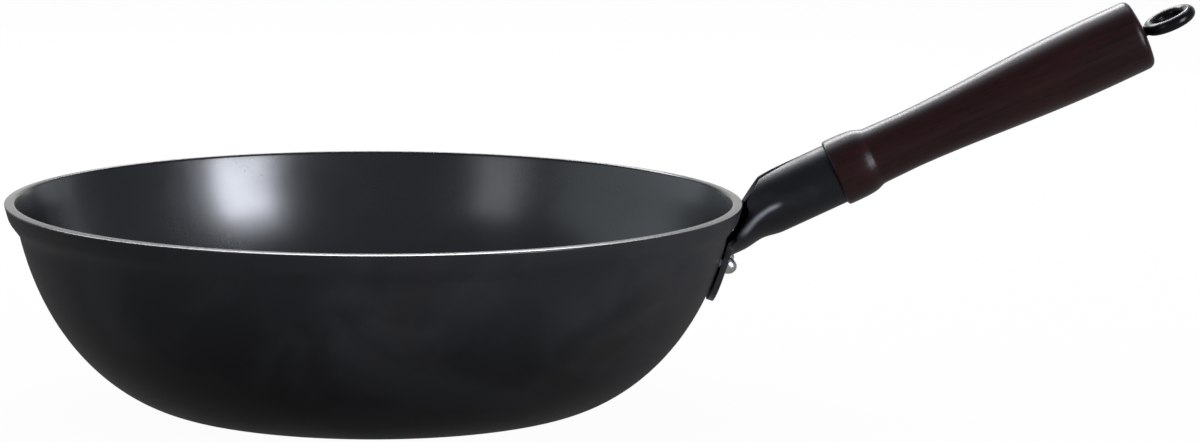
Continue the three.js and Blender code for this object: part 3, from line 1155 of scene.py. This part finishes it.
    def column_places(self, around: float) -> list[Vector]:
        """Follow one column of the sheet.

        Args:
            around: Place on the sheet measured round from its middle line.

        Returns:
            Points from the socket's mouth down to the tongue's tip.
        """
        front = self.front(around)
        lip = self.reach + self.closing
        places = []
        for row in range(self.socket_rows + 1):
            places.append(self.socket_place(lerp(lip, front, row / self.socket_rows), around))
        start = places[-1]
        height = self.section(front, around)[1]
        corner = self.keel + self.tongue_up * (height / math.sin(self.bend_angle))
        corner.y = start.y
        end = corner - self.tongue_up * self.bend_run
        for row in range(1, self.bend_rows + 1):
            share = row / self.bend_rows
            places.append(start.lerp(corner, share).lerp(corner.lerp(end, share), share))
        across = max(-1.0, min(1.0, around / self.tongue_neck))
        below = self.tongue_sides + self.tongue_tip * math.sqrt(1 - across * across)
        tip = self.keel - self.tongue_up * below
        tip.y = across * self.tongue_width / 2
        for row in range(1, self.tongue_rows + 1):
            share = row / self.tongue_rows
            spread = smoothstep(share, 0, self.tongue_spread)
            place = end.lerp(tip, share) - self.tongue_out * (self.closing * spread)
            place.y = lerp(end.y, tip.y, spread)
            places.append(place)
        return places

    def bend(self) -> bpy.types.Object:
        """Bend a grid into the sheet's middle surface, and keep a painted highlight along its crease.

        Returns:
            The sheet, with no thickness yet.
        """
        columns = self.columns()
        piece = Bench.start(
            "handle_socket",
            bpy.ops.mesh.primitive_grid_add,
            x_subdivisions=len(columns) - 1,
            y_subdivisions=self.socket_rows + self.bend_rows + self.tongue_rows,
            size=MM,
        )
        grid = [self.column_places(around) for around in columns]
        # This layer holds the painted highlight along the crease.
        lightened = piece.data.attributes.new(HIGHLIGHT_LAYER, "FLOAT", "POINT")
        for index, vertex in enumerate(piece.data.vertices):
            row, column = divmod(index, len(columns))
            vertex.co = grid[column][row] * MM
            if row < self.socket_rows:
                distance = (grid[column][row] - self.keel).dot(self.along)
                lightened.data[index].value = self.painted_highlight(distance, columns[column])
        return piece

    def free_the_tongue(self, piece: bpy.types.Object) -> None:
        """Cut the sheet away beside the tongue.

        Args:
            piece: The bent sheet.
        """
        width = len(self.columns()) - 1
        Bench.pick_faces(piece, lambda face: (
            face.index // width >= self.socket_rows
            and not self.wing_columns <= face.index % width < width - self.wing_columns
        ))
        bpy.ops.mesh.delete(type="FACE")
        bpy.ops.mesh.select_all(action="SELECT")
        bpy.ops.mesh.normals_make_consistent(inside=False)
        bpy.ops.object.mode_set(mode="OBJECT")

    def build(self, finish: bpy.types.Material, edge_finish: bpy.types.Material) -> None:
        """Bend, cut, dress and thicken the sheet.

        Args:
            finish: Material of the sheet.
            edge_finish: Material of its cut edges.
        """
        piece = self.bend()
        self.free_the_tongue(piece)
        Bench.dress(piece, finish, edge_finish)
        Bench.modify(piece, "SOLIDIFY", thickness=self.sheet * MM, offset=0.0, material_offset_rim=1)
        Bench.modify(
            piece,
            "BEVEL",
            width=self.edge_round * MM,
            segments=self.edge_segments,
            limit_method="ANGLE",
            angle_limit=self.edge_over,
        )
        Bench.smooth(piece)
        Bench.hand_over(piece, Body.PAN, Slot.SHEET, "handle_bracket")


@dataclass
class Rivets:
    """Two steel rivets through the tongue and the bowl wall."""

    socket: HandleSocket
    from_side: float = 5.0
    shank: float = 2.0
    dome_lip: float = 1.7
    dome_height: float = 3.9
    head_lip: float = 2.2
    head_height: float = 1.6
    sides: int = 48
    arc_steps: int = 14

    def side(self) -> float:
        """Distance of a rivet from the tongue's middle line."""
        return self.socket.tongue_width / 2 - self.from_side

    def lean(self) -> float:
        """Lean of the tongue from the vertical."""
        return math.atan2(self.socket.tongue_up.x, self.socket.tongue_up.z)

    def head_seat(self) -> float:
        """Find where the inner head sits on the curved wall.

        Returns:
            Depth of the head's underside behind the sheet's middle.
        """
        wall_radius = self.socket.seat.x - self.socket.tongue_out.x * (
            self.socket.fit + self.socket.sheet / 2
        )
        tilt = math.asin(self.side() / wall_radius)
        recess = wall_radius * (1 - math.cos(tilt)) * math.cos(self.lean())
        wall = self.socket.bowl.wall / math.cos(tilt)
        splay = (self.shank + self.head_lip) * math.tan(tilt)
        return self.socket.sheet / 2 + self.socket.fit + recess + wall + splay

    def outline(self) -> list[Point]:
        """Draw the rivet's half profile.

        Returns:
            Points from the inner head to the outer dome.
        """
        head = self.shank + self.head_lip
        dome = self.shank + self.dome_lip
        seat = self.socket.sheet / 2 - self.socket.closing
        top = self.socket.sheet / 2 + self.socket.fit + self.dome_height
        back = -self.head_seat()
        quarter = [math.pi / 2 * step / self.arc_steps for step in range(self.arc_steps + 1)]
        low = [(head * math.sin(a), back - self.head_height * math.cos(a)) for a in quarter]
        high = [(dome * math.cos(a), lerp(seat, top, math.sin(a))) for a in quarter]
        low[0] = (0.0, low[0][1])
        high[-1] = (0.0, high[-1][1])
        return [*low, (self.shank, back), (self.shank, seat), *high]

    def build(self, finish: bpy.types.Material) -> None:
        """Turn one rivet, copy it and set both in the tongue.

        Args:
            finish: Material of the rivets.
        """
        first = Bench.spin("rivet", self.outline(), self.sides)
        Bench.dress(first, finish)
        Bench.smooth(first)
        Bench.take(first)
        bpy.ops.object.duplicate(linked=False)
        second = bpy.context.object
        turn = Euler((0, math.pi / 2 + self.lean(), 0)).to_matrix().to_4x4()
        for piece, side in ((first, Side.NEAR), (second, Side.FAR)):
            node = f"rivet_{side.name.lower()}"
            Bench.name(piece, f"steel_{node}")
            spot = Vector((self.socket.seat.x, side.value * self.side(), self.socket.seat.z))
            Bench.set_down(piece, Matrix.Translation(spot * MM) @ turn)
            Bench.hand_over(piece, Body.PAN, Slot.STEEL, node)


@dataclass
class Grip:
    """The turned wooden grip, bored through for the eye bolt."""

    socket: HandleSocket
    length: float = 146.6
    shoulder: float = 1.45
    collar: float = 5.0
    cove_slope: float = math.radians(21.5)
    cove_drop: float = 1.05
    cove_at: float = 15.6
    cove_run: float = 2.2
    throat_rise: float = 0.26
    throat_at: float = 21.5
    waist_radius: float = 12.48
    waist_at: float = 34.0
    waist_ease: float = 0.3
    swell_radius: float = 15.83
    swell_at: float = 127.0
    swell_ease: float = 0.61
    end_radius: float = 15.7
    edge_round: float = 1.6
    end_round: float = 4.0
    crown: float = 0.9
    tenon_length: float = 14.0
    bore: float = 2.7
    sides: int = 96
    sweep_steps: int = 36
    corner_steps: int = 8
    straight_steps: int = 4
    bore_steps: int = 8

    def place(self) -> Matrix:
        """Frame of the handle in metres: Z along the grip, the origin at the socket's mouth."""
        turn = Euler((0, math.pi / 2 - self.socket.pitch, 0)).to_matrix().to_4x4()
        return Matrix.Translation(self.socket.mouth() * MM) @ turn

    def outline(self) -> list[Point]:
        """Draw the grip's half profile.

        Returns:
            Points from the tenon's bore round to the end's bore and back through it.
        """
        fit = self.socket.fit
        tenon = self.socket.radius - self.socket.sheet - fit
        front = self.socket.radius + self.shoulder
        fall = math.tan(self.cove_slope)
        cove_top = front - self.cove_drop
        cove_end = self.cove_at + self.cove_run
        cove_foot = cove_top - fall * self.cove_run
        throat = self.waist_radius + self.throat_rise
        drawn = Outline((self.bore, -self.tenon_length)).line((tenon, -self.tenon_length))
        drawn.line((tenon, fit)).line((front - self.edge_round, fit))
        drawn.curve([(front, fit), (front, fit + self.edge_round)], self.corner_steps)
        drawn.line((front, self.collar), self.straight_steps)
        drawn.curve(
            [(front, self.cove_at - self.cove_drop / fall), (cove_top, self.cove_at)],
            self.corner_steps,
        )
        drawn.line((cove_foot, cove_end), self.straight_steps)
        drawn.curve(
            [(throat, cove_end + (cove_foot - throat) / fall), (throat, self.throat_at)],
            self.corner_steps,
        )
        drawn.line((self.waist_radius, self.waist_at), self.straight_steps)
        drawn.curve(
            [
                (self.waist_radius, lerp(self.waist_at, self.swell_at, self.waist_ease)),
                (self.swell_radius, lerp(self.waist_at, self.swell_at, self.swell_ease)),
                (self.swell_radius, self.swell_at),
            ],
            self.sweep_steps,
        )
        drawn.line((self.end_radius, self.length - self.end_round), self.straight_steps)
        drawn.curve(
            [(self.end_radius, self.length), (self.end_radius - self.end_round, self.length)],
            self.corner_steps,
        )
        top = self.length + self.crown
        drawn.curve([(self.end_radius / 2, top), (self.bore, top)], self.corner_steps)
        drawn.line((self.bore, -self.tenon_length), self.bore_steps)
        return drawn.points

    def build(self, finish: bpy.types.Material) -> None:
        """Turn the grip, set it in the socket and dress it.

        Args:
            finish: Material of the wood.
        """
        piece = Bench.spin("wooden_grip", self.outline(), self.sides)
        Bench.set_down(piece, self.place())
        Bench.dress(piece, finish)
        Bench.smooth(piece)
        Bench.hand_over(piece, Body.PAN, Slot.WOOD, "grip")


@dataclass
class EyeBolt:
    """The long bolt through the grip that ends in the hanging eye."""

    grip: Grip
    shank_radius: float = 2.4
    wire_radius: float = 2.64
    eye_radius: float = 9.2
    roll: float = math.radians(6)
    start: float = -30.0
    shank_sides: int = 40
    ring_sides: int = 112
    wire_sides: int = 36

    def build(self, finish: bpy.types.Material) -> None:
        """Join the shank and the ring, set the bolt in the grip and dress it.

        Args:
            finish: Material of the bolt.
        """
        ring_foot = self.grip.length + self.grip.crown + self.grip.socket.fit + self.wire_radius
        length = ring_foot - self.start
        shank = Bench.start(
            "bolt_shank",
            bpy.ops.mesh.primitive_cylinder_add,
            vertices=self.shank_sides,
            radius=self.shank_radius * MM,
            depth=length * MM,
            location=(0, 0, (self.start + length / 2) * MM),
        )
        piece = Bench.start(
            "hanging_eye_bolt",
            bpy.ops.mesh.primitive_torus_add,
            major_radius=self.eye_radius * MM,
            minor_radius=self.wire_radius * MM,
            major_segments=self.ring_sides,
            minor_segments=self.wire_sides,
            location=(0, 0, (ring_foot + self.eye_radius) * MM),
            rotation=(0, math.pi / 2, 0),
        )
        Bench.settle(piece)
        Bench.settle(shank)
        Bench.modify(piece, "BOOLEAN", operation="UNION", object=shank, solver="EXACT")
        bpy.data.objects.remove(shank)
        Bench.set_down(piece, self.grip.place() @ Matrix.Rotation(self.roll, 4, "Z"))
        Bench.dress(piece, finish)
        Bench.smooth(piece)
        Bench.hand_over(piece, Body.EYE, Slot.WIRE, "eye_bolt")


# Studio


@dataclass(frozen=True)
class SoftBox:
    """A rectangular lamp that faces the wok, with its angles in degrees and its sizes in metres."""

    name: str
    turn: float
    elevation: float
    distance: float
    width: float
    height: float
    radiance: float
    colour: Triple
    aim: Triple = (0.03, 0.0, 0.07)

    def build(self) -> None:
        """Place the lamp."""
        turn, elevation = math.radians(self.turn), math.radians(self.elevation)
        away = Vector((
            math.sin(turn) * math.cos(elevation),
            -math.cos(turn) * math.cos(elevation),
            math.sin(elevation),
        ))
        data = bpy.data.lights.new(self.name, "AREA")
        data.shape = "RECTANGLE"
        data.size = self.width
        data.size_y = self.height
        data.energy = self.radiance * self.width * self.height * math.pi
        data.color = self.colour
        lamp = bpy.data.objects.new(self.name, data)
        lamp.location = Vector(self.aim) + away * self.distance
        lamp.rotation_euler = away.to_track_quat("Z", "Y").to_euler()
        lamp.visible_camera = False
        bpy.context.scene.collection.objects.link(lamp)


@dataclass
class Studio:
    """Floor, backdrop, surroundings, lamps and camera."""

    floor_size: float = 40.0
    backdrop_size: tuple[float, float] = (3.0, 2.1)
    backdrop_behind: float = 3.2
    paper_colour: Colour = (0.65, 0.65, 0.65, 1.0)
    seen_white: float = 0.965
    floor_mirrored: float = 0.3
    backdrop_mirrored: float = 0.9
    fill: float = 0.2
    fill_colour: Colour = (0.89, 0.98, 1.08, 1.0)
    lens: float = 120.0
    sensor: float = 36.0
    camera_place: Triple = (0.0753, -1.7256, 0.3352)
    camera_turn: float = math.radians(-0.752)
    camera_tip: float = math.radians(81.54)
    camera_roll: float = math.radians(0.525)
    lamps: tuple[SoftBox, ...] = (
        SoftBox(
            "key_box", turn=51.6, elevation=14, distance=2.2,
            width=0.78, height=1.2, radiance=12.8, colour=(0.86, 0.90, 1.0),
        ),
        SoftBox(
            "key_edge", turn=51.8, elevation=32, distance=2.2,
            width=0.72, height=0.4, radiance=3.6, colour=(0.86, 0.90, 1.0),
        ),
        SoftBox(
            "left_box", turn=-44, elevation=15, distance=2.2,
            width=0.6, height=1.2, radiance=1.6, colour=(0.92, 0.96, 1.0),
        ),
        SoftBox(
            "left_panel", turn=-103, elevation=16, distance=2.4,
            width=3.4, height=1.1, radiance=0.54, colour=(0.85, 0.93, 1.0),
        ),
        SoftBox(
            "right_panel", turn=138, elevation=16, distance=2.4,
            width=1.0, height=1.1, radiance=0.45, colour=(0.92, 0.96, 1.0),
        ),
        SoftBox(
            "top_strip", turn=200, elevation=40, distance=1.8,
            width=1.8, height=0.4, radiance=15.0, colour=(0.97, 0.97, 1.0),
        ),
        SoftBox(
            "ceiling", turn=190, elevation=66, distance=1.8,
            width=1.8, height=0.7, radiance=2.2, colour=(0.88, 0.92, 1.0),
        ),
    )

    def paper(self, name: str, mirrored_white: float) -> bpy.types.Material:
        """Pale paper that the camera sees as white, and that keeps shadows.

        Args:
            name: Name of the material.
            mirrored_white: Level at which polished pieces mirror it, where 1 is white.

        Returns:
            The paper's material.
        """
        material, nodes = FinishNodes.of_material(name)
        path = nodes.add("ShaderNodeLightPath")
        seen = Level(nodes, path.outputs["Is Camera Ray"])
        passed = Level(nodes, path.outputs["Is Transmission Ray"])
        mirrored = Level(nodes, path.outputs["Is Glossy Ray"]).at_least(passed)
        white = nodes.mix(mirrored, grey(1.0), grey(mirrored_white))
        sheet = nodes.add("ShaderNodeBsdfDiffuse", None, {"Color": self.paper_colour})
        glow = nodes.add("ShaderNodeEmission", None, {"Color": white, "Strength": 1.0})
        share = seen * self.seen_white + mirrored
        blend = nodes.add(
            "ShaderNodeMixShader",
            None,
            {0: share, 1: sheet.outputs[0], 2: glow.outputs[0]},
        )
        nodes.add("ShaderNodeOutputMaterial", None, {"Surface": blend.outputs[0]})
        return material

    def floor(self) -> None:
        """Lay the pale floor under the wok."""
        floor = Bench.start("studio_floor", bpy.ops.mesh.primitive_plane_add, size=self.floor_size)
        Bench.dress(floor, self.paper("floor_paper", self.floor_mirrored))

    def backdrop(self) -> None:
        """Stand a white sheet behind the wok, outside the picture, for its top edges to mirror."""
        width, height = self.backdrop_size
        backdrop = Bench.start("studio_backdrop", bpy.ops.mesh.primitive_plane_add, size=1)
        upright = Matrix.Rotation(math.pi / 2, 4, "X") @ Matrix.Diagonal((width, height, 1, 1))
        Bench.set_down(backdrop, Matrix.Translation((0, self.backdrop_behind, height / 2)) @ upright)
        Bench.dress(backdrop, self.paper("backdrop_paper", self.backdrop_mirrored))

    def surroundings(self) -> None:
        """Fill the room with even, slightly blue light."""
        world = bpy.data.worlds.new("studio")
        world.use_nodes = True
        bpy.context.scene.world = world
        nodes = FinishNodes(world.node_tree)
        glow = nodes.add(
            "ShaderNodeBackground",
            None,
            {"Color": self.fill_colour, "Strength": self.fill},
        )
        nodes.add("ShaderNodeOutputWorld", None, {"Surface": glow.outputs[0]})

    def camera(self) -> None:
        """Set the camera at the photograph's viewing angle."""
        data = bpy.data.cameras.new("camera")
        data.lens = self.lens
        data.sensor_width = self.sensor
        camera = bpy.data.objects.new("camera", data)
        camera.matrix_world = (
            Matrix.Translation(self.camera_place)
            @ Matrix.Rotation(self.camera_turn, 4, "Z")
            @ Matrix.Rotation(self.camera_tip, 4, "X")
            @ Matrix.Rotation(self.camera_roll, 4, "Z")
        )
        bpy.context.scene.collection.objects.link(camera)
        bpy.context.scene.camera = camera

    def build(self) -> None:
        """Set up the whole studio."""
        self.floor()
        self.backdrop()
        self.surroundings()
        for lamp in self.lamps:
            lamp.build()
        self.camera()
        bpy.context.scene.view_settings.view_transform = "Standard"
        LOG.info("studio: %d lamps", len(self.lamps))


IRON_OUTSIDE = SeasonedIron(
    "seasoned_iron_outside",
    deep=(0.0195, 0.0200, 0.0213, 1.0),
    clouded=(0.0255, 0.0260, 0.0273, 1.0),
    browned=(0.0300, 0.0246, 0.0220, 1.0),
    roughness=0.45,
    roughness_spread=0.08,
    gloss=0.07,
    grain_depth=0.03,
    # Painted shade towards the base.
    base_shade=0.9,
)
IRON_INSIDE = SeasonedIron(
    "seasoned_iron_inside",
    deep=(0.0040, 0.0046, 0.0060, 1.0),
    clouded=(0.0068, 0.0076, 0.0092, 1.0),
    browned=(0.0072, 0.0070, 0.0070, 1.0),
    roughness=0.25,
    roughness_spread=0.05,
    gloss=1.0,
    grain_depth=0.02,
)
IRON_RIM = SeasonedIron(
    "seasoned_iron_rim",
    deep=(0.010, 0.010, 0.011, 1.0),
    clouded=(0.018, 0.018, 0.019, 1.0),
    browned=(0.020, 0.018, 0.016, 1.0),
    roughness=0.22,
    roughness_spread=0.05,
    gloss=0.36,
    grain_depth=0.012,
)
SHEET_PAINT = BlackPaint(
    "black_stove_paint",
    deep=(0.0038, 0.0042, 0.0060, 1.0),
    lightened=(0.0068, 0.0072, 0.0092, 1.0),
    roughness=0.37,
    gloss=0.36,
    # Colour of the painted highlight along the crease.
    highlight_colour=(0.26, 0.265, 0.28, 1.0),
)
# Painted highlight: the sheet's cut edges are painted lighter than the sheet.
SHEET_EDGE = BlackPaint(
    "highlit_sheet_edge",
    deep=(0.016, 0.0165, 0.019, 1.0),
    lightened=(0.040, 0.041, 0.046, 1.0),
    roughness=0.3,
    gloss=0.5,
)
WIRE_PAINT = BlackPaint(
    "black_wire_paint",
    deep=(0.0030, 0.0031, 0.0036, 1.0),
    lightened=(0.0060, 0.0060, 0.0066, 1.0),
    roughness=0.23,
    gloss=0.22,
)
RIVET_STEEL = BareSteel(
    "rivet_steel", bright=(0.62, 0.62, 0.61, 1.0), dull=(0.32, 0.31, 0.30, 1.0), roughness=0.26
)
NUT_STEEL = BareSteel(
    "nut_steel", bright=(0.55, 0.55, 0.55, 1.0), dull=(0.36, 0.35, 0.34, 1.0), roughness=0.34
)


def main() -> None:
    """Build the studio and the wok's pieces in order."""
    logging.basicConfig(level=logging.INFO, format="%(name)s: %(message)s")
    Studio().build()
    bowl = Bowl()
    socket = HandleSocket(bowl)
    grip = Grip(socket)
    wood = LacqueredWood(
        "lacquered_wood",
        deep=(0.0070, 0.0018, 0.0020, 1.0),
        stain=(0.0155, 0.0034, 0.0037, 1.0),
        flame=(0.0230, 0.0048, 0.0048, 1.0),
        turn=Euler((0, socket.pitch, 0)),
        about=socket.mouth() * MM,
        lacquer_roughness=0.33,
        lacquer_ior=1.3,
    )
    bowl.build({
        Zone.OUTSIDE: IRON_OUTSIDE.material(),
        Zone.INSIDE: IRON_INSIDE.material(),
        Zone.RIM: IRON_RIM.material(),
    })
    socket.build(SHEET_PAINT.material(), SHEET_EDGE.material())
    Rivets(socket).build(RIVET_STEEL.material())
    grip.build(wood.material())
    EyeBolt(grip).build(WIRE_PAINT.material())
    Bench.dress(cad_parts["socket_nut"], NUT_STEEL.material())
    LOG.info("socket_nut: dressed as it is")


if __name__ == "__main__":
    main()
